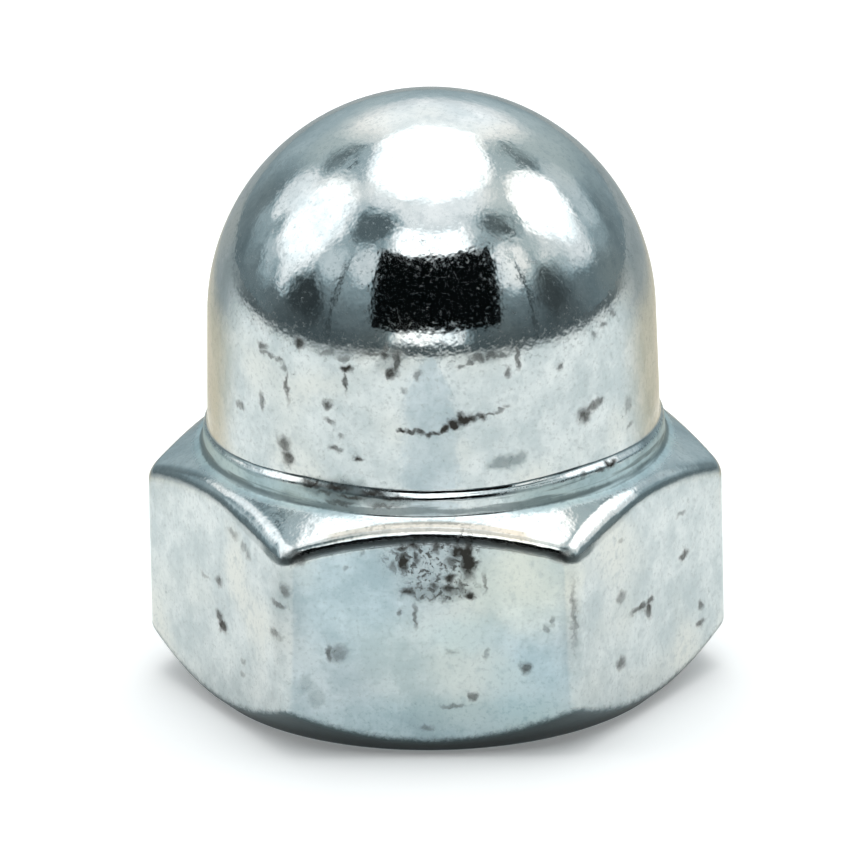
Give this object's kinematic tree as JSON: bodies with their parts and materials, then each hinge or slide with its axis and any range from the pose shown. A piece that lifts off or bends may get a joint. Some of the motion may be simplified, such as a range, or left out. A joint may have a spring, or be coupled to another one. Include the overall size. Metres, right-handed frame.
{
  "type": "cap nut",
  "caption": "Domed hexagon cap nut with a blind tapped hole, a round cap on a low collar and bevelled flats, that covers and locks the end of a bolt.",
  "frame": {"origin": "centre of the bearing face, on the thread axis", "axes": "+Z along the thread axis from the bearing face to the top of the cap, +X through a corner of the hexagon, +Y square to a flat"},
  "size_m": [0.0114, 0.01, 0.012],
  "materials": {
    "zinc_plate": "bright bluish zinc plate on cold-formed steel, lightly pitted"
  },
  "bodies": {
    "root": {"cap_nut": "zinc_plate"}
  },
  "joints": []
}
